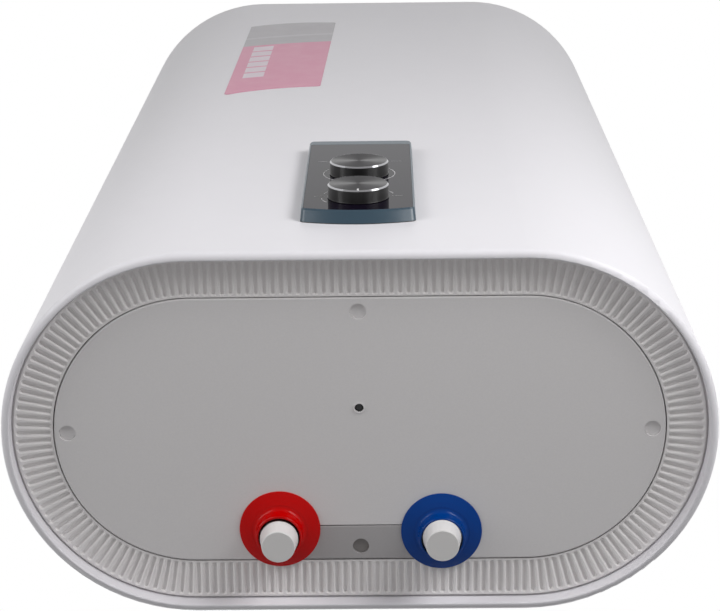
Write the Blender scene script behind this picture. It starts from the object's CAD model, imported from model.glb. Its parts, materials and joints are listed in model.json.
import json
import math

import bpy
from mathutils import Matrix, Vector


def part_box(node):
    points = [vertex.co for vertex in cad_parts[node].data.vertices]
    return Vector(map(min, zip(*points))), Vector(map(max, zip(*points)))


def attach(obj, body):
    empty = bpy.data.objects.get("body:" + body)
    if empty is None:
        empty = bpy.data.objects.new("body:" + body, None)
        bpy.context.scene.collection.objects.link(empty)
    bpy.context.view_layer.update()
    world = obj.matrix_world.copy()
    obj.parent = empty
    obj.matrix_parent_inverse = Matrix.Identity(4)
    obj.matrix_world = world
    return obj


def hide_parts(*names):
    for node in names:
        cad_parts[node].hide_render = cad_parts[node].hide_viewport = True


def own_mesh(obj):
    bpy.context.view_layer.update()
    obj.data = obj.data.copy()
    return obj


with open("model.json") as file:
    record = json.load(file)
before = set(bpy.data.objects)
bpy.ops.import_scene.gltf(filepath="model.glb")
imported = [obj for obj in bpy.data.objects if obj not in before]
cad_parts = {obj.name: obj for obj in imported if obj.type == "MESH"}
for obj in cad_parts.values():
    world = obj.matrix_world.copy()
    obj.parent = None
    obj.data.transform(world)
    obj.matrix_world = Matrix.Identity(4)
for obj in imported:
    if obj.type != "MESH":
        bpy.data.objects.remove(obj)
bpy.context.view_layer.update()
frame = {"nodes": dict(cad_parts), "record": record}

# Camera of the photograph, in metres in the part's own frame
CAMERA_PLACE = Vector((0.0176, -0.5888, -1.6313))
CAMERA_FORWARD = Vector((-0.0129, 0.3036, 0.9527))
CAMERA_UP = Vector((0.0092, -0.9527, 0.3037))
LENS_MM = 105.08
SENSOR_MM = 36.0

# Studio
FLOOR_LEVEL = -1.95
FLOOR_SIZE = 40.0
FLOOR_GLOW = 0.3
BACKGROUND = 1.0
AMBIENT = 0.2
AIM = Vector((0.0, -0.2, -0.2))
LIGHTS = {
    "right_softbox": {"place": (1.3, -0.8, -0.72), "size": (0.4, 0.9), "watts": 1.9},
    "left_softbox": {"place": (-1.3, -0.8, -0.72), "size": (0.4, 0.9), "watts": 4.8},
    "front_right_softbox": {"place": (1.1, -1.3, -0.45), "size": (0.8, 0.6), "watts": 5.7},
    "near_right_softbox": {"place": (0.55, -0.75, -0.62), "size": (0.5, 0.3), "watts": 3.3},
    "near_left_softbox": {"place": (-0.55, -0.75, -0.62), "size": (0.5, 0.3), "watts": 1.4},
    "back_softbox": {"place": (0.0, 2.4, 1.0), "size": (2.4, 1.6), "watts": 16.0},
}

# Printed marks on the control plate and on the lower knob
INK_LIFT = 0.00004
INK_THICKNESS = 0.00004
RING_RADIUS = 0.0235
RING_LINE = 0.0006
LOWER_RING_ARCS = ((20, 158), (188, 213))
PLATE_LINE = 0.0005
PLATE_LINE_START = 0.0212
PLATE_LINE_END = 0.0282
LOWER_LINE_RISE = 0.0020
UPPER_LINE_RISE = 0.0333
POINTER_WIDTH = 0.0011
POINTER_START = 0.0144
POINTER_END = 0.0192
DOT_RADIUS = 0.0005
DOT_INSET = 0.0006
ARC_STEP = math.radians(3)

# Plain bars on the sheet, and the line between its two colours: metres from the sheet's own corner
SPLIT_LEVEL = 0.2354
SPLIT_SLOPE = -0.009
SPLIT_BOW = -2.26
BAR_LEFT = -0.0975
BAR_RIGHT = -0.0805
BAR_LEAN = 0.0167
BAR_COUNT = 6
BAR_PITCH = 0.0232
BAR_FIRST = 0.0072
BAR_HEIGHT = 0.0192
STREAK_RISE = 0.0370
STREAK_HALF = 0.0035
STREAK_SHARE = 0.8

# Greys of the cover and its plugs, and where the strip by the pipes begins
COVER_GREY = (0.74, 0.72, 0.725)
STRIP_PLUG_GREY = (0.22, 0.205, 0.20)
STRIP_FRONT = -0.08

# Rounding of moulded edges: least angle and steps, and each node's width in metres
EDGE_ANGLE = math.radians(40)
EDGE_SEGMENTS = 2
EDGES = {
    "service_cover": 0.0012,
    "pipe_strip": 0.0008,
    "cover_screw_plugs": 0.0003,
    "control_housing": 0.0006,
}


class Shader:
    """A material's node tree around one Principled shader."""

    def __init__(self, name, colour, roughness, metallic=0.0):
        self.material = bpy.data.materials.new(name)
        self.material.use_nodes = True
        self.tree = self.material.node_tree
        self.surface = self.tree.nodes["Principled BSDF"]
        self.colour = (*colour, 1.0)
        self.put("Base Color", self.colour)
        self.put("Roughness", roughness)
        self.put("Metallic", metallic)
        self.material.diffuse_color = self.colour
        self.place = self.tree.nodes.new("ShaderNodeTexCoord").outputs["Object"]

    def put(self, socket, value):
        self.surface.inputs[socket].default_value = value

    def join(self, output, socket):
        self.tree.links.new(output, self.surface.inputs[socket])

    def node(self, kind, **settings):
        made = self.tree.nodes.new(kind)
        for name, value in settings.items():
            setattr(made, name, value)
        return made

    def feed(self, socket, value):
        if hasattr(value, "is_output"):
            self.tree.links.new(value, socket)
        else:
            socket.default_value = value

    def maths(self, operation, first, second=0.0, third=0.0):
        made = self.node("ShaderNodeMath", operation=operation)
        for index, value in enumerate((first, second, third)):
            self.feed(made.inputs[index], value)
        return made.outputs[0]

    def stretched(self, scale):
        """Object coordinates, scaled by axis."""
        made = self.node("ShaderNodeMapping")
        self.feed(made.inputs["Vector"], self.place)
        made.inputs["Scale"].default_value = scale
        return made.outputs["Vector"]

    def noise(self, scale, detail, vector=None):
        made = self.node("ShaderNodeTexNoise")
        made.inputs["Scale"].default_value = scale
        made.inputs["Detail"].default_value = detail
        self.feed(made.inputs["Vector"], vector or self.place)
        return made.outputs["Fac"]

    def cells(self, scale):
        made = self.node("ShaderNodeTexVoronoi", feature="F1")
        made.inputs["Scale"].default_value = scale
        self.feed(made.inputs["Vector"], self.place)
        return made.outputs["Distance"]

    def span(self, value, low, high):
        """Value from 0..1 to low..high."""
        made = self.node("ShaderNodeMapRange")
        self.feed(made.inputs["Value"], value)
        made.inputs["To Min"].default_value = low
        made.inputs["To Max"].default_value = high
        return made.outputs["Result"]

    def mix(self, share, first, second):
        made = self.node("ShaderNodeMix", data_type="RGBA")
        self.feed(made.inputs["Factor"], share)
        self.feed(made.inputs[6], first)
        self.feed(made.inputs[7], second)
        return made.outputs[2]

    def tint(self, value, spread):
        """Base colour that gets a little darker and lighter with a value."""
        dark = tuple(part * (1 - spread) for part in self.colour[:3]) + (1.0,)
        light = tuple(min(1.0, part * (1 + spread)) for part in self.colour[:3]) + (1.0,)
        self.join(self.mix(value, dark, light), "Base Color")

    def relief(self, height, distance, strength):
        made = self.node("ShaderNodeBump")
        made.inputs["Strength"].default_value = strength
        made.inputs["Distance"].default_value = distance
        self.feed(made.inputs["Height"], height)
        self.join(made.outputs["Normal"], "Normal")

    def rough(self, value, low, high):
        self.join(self.span(value, low, high), "Roughness")


def white_painted_steel():
    """Powder coat: a barely wavy satin skin."""
    shader = Shader("white_painted_steel", (0.78, 0.765, 0.80), 0.42)
    shader.relief(shader.noise(420.0, 2.0), 0.00003, 0.35)
    shader.rough(shader.noise(60.0, 3.0), 0.38, 0.48)
    return shader


def grained_plastic(name, colour):
    """Grey moulding with a fine grain."""
    shader = Shader(name, colour, 0.5)
    grain = shader.noise(1400.0, 2.0)
    shader.relief(grain, 0.00004, 0.5)
    shader.tint(shader.noise(900.0, 3.0), 0.035)
    shader.rough(grain, 0.44, 0.58)
    return shader


def plug_plastic():
    """Plugs in the cover's own grey, but the one in the strip, nearest the wall, is darker."""
    shader = grained_plastic("plug_plastic", COVER_GREY)
    parts = shader.node("ShaderNodeSeparateXYZ")
    shader.feed(parts.inputs[0], shader.place)
    in_strip = shader.maths("GREATER_THAN", parts.outputs["Y"], STRIP_FRONT)
    shader.join(shader.mix(in_strip, (*COVER_GREY, 1.0), (*STRIP_PLUG_GREY, 1.0)), "Base Color")
    return shader


def glossy_plastic(name, colour, roughness=0.16, gloss=0.5):
    """Shiny moulding with a slightly uneven skin."""
    shader = Shader(name, colour, roughness)
    shader.put("Specular IOR Level", gloss)
    shader.relief(shader.noise(300.0, 2.0), 0.00003, 0.25)
    shader.rough(shader.noise(120.0, 3.0), roughness * 0.8, roughness * 1.4)
    return shader


def zinc_steel():
    """Zinc plate: cloudy patches of different gloss."""
    shader = Shader("zinc_steel", (0.62, 0.62, 0.6), 0.24, 1.0)
    cloud = shader.noise(90.0, 4.0)
    shader.tint(cloud, 0.1)
    shader.rough(cloud, 0.24, 0.4)
    shader.relief(shader.noise(900.0, 2.0), 0.00002, 0.3)
    return shader


def painted_bracket():
    """Dark grey paint over pressed steel."""
    shader = Shader("black_steel", (0.035, 0.035, 0.038), 0.45)
    grain = shader.noise(700.0, 3.0)
    shader.relief(grain, 0.00006, 0.5)
    shader.rough(grain, 0.38, 0.55)
    return shader


def rolled_sheet():
    """Stainless sheet with the fine lines of rolling."""
    shader = Shader("stainless", (0.56, 0.56, 0.55), 0.3, 1.0)
    lines = shader.noise(1.0, 3.0, shader.stretched((900.0, 900.0, 25.0)))
    shader.rough(lines, 0.22, 0.42)
    shader.relief(lines, 0.00002, 0.4)
    return shader


def copper():
    """Stained copper."""
    shader = Shader("copper", (0.55, 0.24, 0.13), 0.3, 1.0)
    stain = shader.noise(70.0, 4.0)
    shader.tint(stain, 0.25)
    shader.rough(stain, 0.24, 0.45)
    return shader


def magnesium():
    """Dull cast rod with a pitted skin."""
    shader = Shader("magnesium", (0.45, 0.45, 0.46), 0.6, 1.0)
    pits = shader.cells(260.0)
    shader.relief(pits, 0.0002, 0.5)
    shader.tint(pits, 0.15)
    return shader


def rubber():
    """Dull black rubber."""
    shader = Shader("rubber", (0.02, 0.02, 0.02), 0.7)
    grain = shader.noise(900.0, 3.0)
    shader.relief(grain, 0.00008, 0.5)
    shader.rough(grain, 0.6, 0.8)
    return shader


def foam():
    """Rigid foam: closed cells."""
    shader = Shader("foam", (0.72, 0.58, 0.28), 0.9)
    cells = shader.cells(420.0)
    shader.relief(cells, 0.0005, 0.7)
    shader.tint(cells, 0.12)
    return shader


def bezel_plastic():
    """Slate blue satin frame round the control plate."""
    shader = Shader("bezel_plastic", (0.025, 0.054, 0.08), 0.3)
    grain = shader.noise(1100.0, 2.0)
    shader.relief(grain, 0.00002, 0.4)
    shader.rough(grain, 0.26, 0.36)
    return shader


def smoked_panel():
    """High gloss plate, dark all through."""
    shader = Shader("smoked_panel", (0.005, 0.003, 0.010), 0.03)
    shader.put("Specular IOR Level", 0.08)
    shader.relief(shader.noise(45.0, 1.0), 0.00002, 0.2)
    return shader


def black_gloss():
    """Black lacquer on turned metal: the gloss is drawn out along the knob's axis."""
    shader = Shader("black_gloss", (0.004, 0.0035, 0.004), 0.4)
    shader.put("Specular IOR Level", 0.5)
    shader.put("Anisotropic", 0.95)
    shader.relief(shader.noise(160.0, 2.0), 0.00001, 0.2)
    axis = shader.node("ShaderNodeCombineXYZ")
    axis.inputs["Y"].default_value = 1.0
    shader.join(axis.outputs[0], "Tangent")
    return shader


def knob_turning(shader):
    """Distance from the nearer knob's axis, and the direction away from it in object coordinates."""
    low, high = knob_centre("temperature_knob"), knob_centre("power_knob")
    parts = shader.node("ShaderNodeSeparateXYZ")
    shader.feed(parts.inputs[0], shader.place)
    is_upper = shader.maths("GREATER_THAN", parts.outputs["Z"], (low.z + high.z) / 2)
    centre_z = shader.maths("MULTIPLY_ADD", is_upper, high.z - low.z, low.z)
    across = shader.maths("SUBTRACT", parts.outputs["X"], low.x)
    rise = shader.maths("SUBTRACT", parts.outputs["Z"], centre_z)
    squares = [shader.maths("MULTIPLY", part, part) for part in (across, rise)]
    reach = shader.maths("SQRT", shader.maths("ADD", *squares))
    outwards = shader.node("ShaderNodeCombineXYZ")
    shader.feed(outwards.inputs["X"], across)
    shader.feed(outwards.inputs["Z"], rise)
    return reach, outwards.outputs[0]


def chrome():
    """Bright ring with a faint change of gloss."""
    shader = Shader("chrome", (0.45, 0.45, 0.47), 0.1, 1.0)
    shader.rough(shader.noise(500.0, 3.0), 0.07, 0.14)
    return shader


def spun_metal():
    """Dark metal turned on a lathe: fine rings, gloss drawn out across them."""
    shader = Shader("spun_metal", (0.026, 0.0245, 0.027), 0.3, 1.0)
    shader.put("Anisotropic", 0.95)
    reach, outwards = knob_turning(shader)
    rings = shader.node("ShaderNodeTexNoise", noise_dimensions="1D")
    rings.inputs["Scale"].default_value = 6000.0
    rings.inputs["Detail"].default_value = 3.0
    shader.feed(rings.inputs["W"], reach)
    shader.relief(rings.outputs["Fac"], 0.00001, 0.35)
    shader.rough(rings.outputs["Fac"], 0.26, 0.4)
    shader.join(outwards, "Tangent")
    return shader


def beige_plastic():
    """Moulding of the switch, the thermostat, the cut-out and the terminal block."""
    shader = Shader("beige_plastic", (0.62, 0.56, 0.45), 0.5)
    grain = shader.noise(1000.0, 3.0)
    shader.relief(grain, 0.00006, 0.5)
    shader.rough(grain, 0.42, 0.6)
    return shader


def label_film():
    """Satin film: grey above a bowed line, rose below it, with plain pale bars in a column."""
    grey = (0.36, 0.34, 0.365, 1.0)
    rose = (0.62, 0.195, 0.32, 1.0)
    pale = (0.66, 0.55, 0.62, 1.0)
    streak = (0.44, 0.42, 0.45, 1.0)
    shader = Shader("label_film", rose[:3], 0.35)
    parts = shader.node("ShaderNodeSeparateXYZ")
    shader.feed(parts.inputs[0], shader.place)
    x, z = parts.outputs["X"], parts.outputs["Z"]
    bow = shader.maths("MULTIPLY", shader.maths("MULTIPLY", x, x), SPLIT_BOW)
    split = shader.maths("ADD", shader.maths("MULTIPLY_ADD", x, SPLIT_SLOPE, SPLIT_LEVEL), bow)
    rise = shader.maths("SUBTRACT", z, split)
    is_grey = shader.maths("GREATER_THAN", rise, 0.0)
    depth = shader.maths("MULTIPLY", rise, -1.0)
    upright = shader.maths("MULTIPLY_ADD", depth, BAR_LEAN, x)
    in_column = shader.maths("MULTIPLY", shader.maths("GREATER_THAN", upright, BAR_LEFT),
                             shader.maths("LESS_THAN", upright, BAR_RIGHT))
    start = shader.maths("SUBTRACT", depth, BAR_FIRST)
    row = shader.maths("MODULO", start, BAR_PITCH)
    in_row = shader.maths("MULTIPLY", shader.maths("LESS_THAN", row, BAR_HEIGHT),
                          shader.maths("GREATER_THAN", start, 0.0))
    in_rows = shader.maths("MULTIPLY", in_row, shader.maths("LESS_THAN", start, BAR_COUNT * BAR_PITCH))
    is_bar = shader.maths("MULTIPLY", in_column, in_rows)
    off_streak = shader.maths("ABSOLUTE", shader.maths("SUBTRACT", rise, STREAK_RISE))
    is_streak = shader.maths("LESS_THAN", off_streak, STREAK_HALF)
    upper = shader.mix(shader.maths("MULTIPLY", is_streak, STREAK_SHARE), grey, streak)
    lower = shader.mix(is_bar, rose, pale)
    shader.join(shader.mix(is_grey, lower, upper), "Base Color")
    shader.relief(shader.noise(200.0, 2.0), 0.00002, 0.3)
    shader.rough(shader.noise(80.0, 2.0), 0.3, 0.42)
    return shader


def button_plastic():
    """Dark satin button."""
    shader = Shader("button_plastic", (0.02, 0.02, 0.022), 0.4)
    grain = shader.noise(1200.0, 2.0)
    shader.relief(grain, 0.00003, 0.4)
    shader.rough(grain, 0.35, 0.5)
    return shader


def ink(name, colour):
    """Printed mark."""
    shader = Shader(name, colour, 0.45)
    shader.relief(shader.noise(1500.0, 2.0), 0.00001, 0.3)
    return shader


def knob_centre(name):
    """Middle of a knob's box."""
    low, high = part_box(name)
    return (Vector(low) + Vector(high)) / 2


def dress_nodes():
    """Gives each CAD node the material of its slot."""
    shaders = {
        "white_painted_steel": white_painted_steel(),
        "grey_plastic": grained_plastic("grey_plastic", (0.84, 0.815, 0.815)),
        "cover_plastic": grained_plastic("cover_plastic", COVER_GREY),
        "strip_plastic": grained_plastic("strip_plastic", (0.42, 0.405, 0.41)),
        "red_plastic": glossy_plastic("red_plastic", (0.55, 0.0, 0.0), gloss=0.15),
        "blue_plastic": glossy_plastic("blue_plastic", (0.0, 0.045, 0.25), gloss=0.15),
        "white_plastic": glossy_plastic("white_plastic", (0.76, 0.745, 0.74), 0.35),
        "zinc_steel": zinc_steel(),
        "black_steel": painted_bracket(),
        "stainless": rolled_sheet(),
        "copper": copper(),
        "magnesium": magnesium(),
        "rubber": rubber(),
        "foam": foam(),
        "bezel_plastic": bezel_plastic(),
        "smoked_panel": smoked_panel(),
        "black_gloss": black_gloss(),
        "chrome": chrome(),
        "spun_metal": spun_metal(),
        "beige_plastic": beige_plastic(),
        "label_film": label_film(),
    }
    for row in frame["record"]["subparts"]:
        piece = frame["nodes"][row["node"]]
        piece.data.materials.clear()
        piece.data.materials.append(shaders[row["material_slot"]].material)
    own = {"cover_screw_plugs": plug_plastic(), "reset_button": button_plastic()}
    for node, shader in own.items():
        frame["nodes"][node].data.materials[0] = shader.material


def soften(node, width):
    """Rounds a node's sharp edges a little, so that they catch the light."""
    edge = frame["nodes"][node].modifiers.new("edge", "BEVEL")
    edge.width = width
    edge.segments = EDGE_SEGMENTS
    edge.limit_method = "ANGLE"
    edge.angle_limit = EDGE_ANGLE


def reset_coil():
    """Spring behind the reset button, which shortens as the button goes in."""
    spring = frame["nodes"]["reset_spring"]
    coil = bpy.data.objects.new("reset_coil", spring.data.copy())
    bpy.context.scene.collection.objects.link(coil)
    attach(coil, "heater")
    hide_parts("reset_spring")
    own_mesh(coil)


def new_piece(name, points, faces, body, material):
    """Mesh made here, which rides on a body of the frame."""
    mesh = bpy.data.meshes.new(name)
    mesh.from_pydata(points, [], faces)
    mesh.update()
    piece = bpy.data.objects.new(name, mesh)
    bpy.context.scene.collection.objects.link(piece)
    mesh.materials.append(material)
    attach(piece, body)
    return piece


def strip(points, faces, path, width, front, back):
    """Adds a closed flat strip that faces the room, along a path of (x, z) and its side direction."""
    first = len(points)
    for x, z, side_x, side_z in path:
        for y in (front, back):
            points.append((x - side_x * width / 2, y, z - side_z * width / 2))
            points.append((x + side_x * width / 2, y, z + side_z * width / 2))
    count = len(path)
    for index in range(count - 1):
        a = first + 4 * index
        b = a + 4
        faces += [(a, a + 1, b + 1, b), (a + 2, b + 2, b + 3, a + 3), (a, b, b + 2, a + 2),
                  (a + 1, a + 3, b + 3, b + 1)]
    end = first + 4 * (count - 1)
    faces += [(first, first + 2, first + 3, first + 1), (end, end + 1, end + 3, end + 2)]


def arc_path(centre, radius, start, stop):
    """Path along an arc round a centre; angles in degrees, counted from the right, upwards."""
    start, stop = math.radians(start), math.radians(stop)
    steps = max(2, round((stop - start) / ARC_STEP))
    path = []
    for index in range(steps + 1):
        angle = start + (stop - start) * index / steps
        side = (math.cos(angle), math.sin(angle))
        path.append((centre.x + radius * side[0], centre.z + radius * side[1], side[0], side[1]))
    return path


def line_path(start_x, end_x, z):
    """Level path from one x to another."""
    return [(start_x, z, 0.0, 1.0), (end_x, z, 0.0, 1.0)]


def plate_prints(light_ink, faint_ink):
    """Rings round the knobs and thin lines beside them."""
    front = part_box("control_glass")[0][1] - INK_LIFT
    back = front + INK_THICKNESS
    low, high = knob_centre("temperature_knob"), knob_centre("power_knob")
    points, faces = [], []
    for start, stop in LOWER_RING_ARCS:
        strip(points, faces, arc_path(low, RING_RADIUS, start, stop), RING_LINE, front, back)
    new_piece("temperature_scale_print", points, faces, "heater", light_ink.material)
    points, faces = [], []
    strip(points, faces, arc_path(high, RING_RADIUS, 0, 360), RING_LINE, front, back)
    new_piece("power_scale_print", points, faces, "heater", light_ink.material)
    points, faces = [], []
    for level in (low.z + LOWER_LINE_RISE, high.z + UPPER_LINE_RISE):
        for side in (-1, 1):
            ends = sorted((side * PLATE_LINE_START, side * PLATE_LINE_END))
            strip(points, faces, line_path(ends[0], ends[1], level), PLATE_LINE, front, back)
    new_piece("plate_line_prints", points, faces, "heater", faint_ink.material)


def knob_marks(light_ink, faint_ink):
    """White pointer on the lower knob's face, and a small dot below it, 0.36 mm inside the side."""
    centre = knob_centre("temperature_knob")
    face_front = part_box("temperature_knob_face")[0][1]
    points, faces = [], []
    path = [(centre.x, centre.z - POINTER_END, 1.0, 0.0), (centre.x, centre.z - POINTER_START, 1.0, 0.0)]
    trim_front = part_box("temperature_knob_trim")[0][1]
    strip(points, faces, path, POINTER_WIDTH, trim_front - INK_LIFT, face_front)
    new_piece("temperature_pointer", points, faces, "temperature_dial", light_ink.material)
    knob_low, knob_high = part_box("temperature_knob")
    radius = (knob_high[0] - knob_low[0]) / 2
    bpy.ops.mesh.primitive_cylinder_add(vertices=16, radius=DOT_RADIUS, depth=2 * INK_THICKNESS)
    dot = bpy.context.object
    dot.name = "temperature_side_dot"
    half_height = (knob_low[1] + knob_high[1]) / 2
    dot.data.transform(Matrix.Translation((centre.x, half_height, centre.z - radius + DOT_INSET)))
    dot.data.materials.append(faint_ink.material)
    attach(dot, "temperature_dial")


def studio():
    """Pale floor, white surroundings and soft boxes."""
    bpy.ops.mesh.primitive_plane_add(size=FLOOR_SIZE, location=(0, 0, FLOOR_LEVEL))
    floor = bpy.context.object
    floor.name = "floor"
    shader = Shader("floor_paint", (0.8, 0.8, 0.8), 0.7)
    shader.tint(shader.noise(3.0, 3.0), 0.01)
    shader.put("Emission Color", (1, 1, 1, 1))
    shader.join(shader.maths("MULTIPLY", seen_rays(shader.tree), FLOOR_GLOW), "Emission Strength")
    floor.data.materials.append(shader.material)
    for name, values in LIGHTS.items():
        data = bpy.data.lights.new(name, "AREA")
        data.shape = "RECTANGLE"
        data.size, data.size_y = values["size"]
        data.energy = values["watts"]
        lamp = bpy.data.objects.new(name, data)
        bpy.context.scene.collection.objects.link(lamp)
        lamp.visible_camera = False
        place = Vector(values["place"])
        lamp.matrix_world = Matrix.Translation(place) @ facing((place - AIM).normalized())
    world = bpy.data.worlds.new("white_studio")
    world.use_nodes = True
    bpy.context.scene.world = world
    tree = world.node_tree
    background = tree.nodes["Background"]
    background.inputs["Color"].default_value = (1, 1, 1, 1)
    level = tree.nodes.new("ShaderNodeMapRange")
    level.inputs["To Min"].default_value = AMBIENT
    level.inputs["To Max"].default_value = BACKGROUND
    tree.links.new(seen_rays(tree), level.inputs["Value"])
    tree.links.new(level.outputs["Result"], background.inputs["Strength"])


def seen_rays(tree):
    """One for rays that show the surroundings: straight, mirrored or through glass."""
    path = tree.nodes.new("ShaderNodeLightPath")
    seen = path.outputs["Is Camera Ray"]
    for ray in ("Is Glossy Ray", "Is Transmission Ray"):
        more = tree.nodes.new("ShaderNodeMath")
        more.operation = "MAXIMUM"
        tree.links.new(seen, more.inputs[0])
        tree.links.new(path.outputs[ray], more.inputs[1])
        seen = more.outputs[0]
    return seen


def facing(away):
    """Turns an area light, which shines along its own -Z, so that it shines against this direction."""
    side = Vector((0, 1, 0)).cross(away).normalized()
    up = away.cross(side)
    return Matrix((side, up, away)).transposed().to_4x4()


def camera():
    """Camera of the photograph."""
    data = bpy.data.cameras.new("photo_camera")
    data.lens = LENS_MM
    data.sensor_width = SENSOR_MM
    data.sensor_fit = "HORIZONTAL"
    data.clip_end = 100.0
    made = bpy.data.objects.new("photo_camera", data)
    bpy.context.scene.collection.objects.link(made)
    back = -CAMERA_FORWARD.normalized()
    side = CAMERA_UP.cross(back).normalized()
    up = back.cross(side)
    made.matrix_world = Matrix.Translation(CAMERA_PLACE) @ Matrix((side, up, back)).transposed().to_4x4()
    bpy.context.scene.camera = made


dress_nodes()
for node, width in EDGES.items():
    soften(node, width)
reset_coil()
light_ink = ink("light_ink", (0.55, 0.54, 0.56))
faint_ink = ink("faint_ink", (0.28, 0.275, 0.285))
white_ink = ink("white_ink", (0.8, 0.79, 0.8))
plate_prints(light_ink, faint_ink)
knob_marks(white_ink, faint_ink)
studio()
camera()
bpy.context.scene.view_settings.view_transform = "Standard"
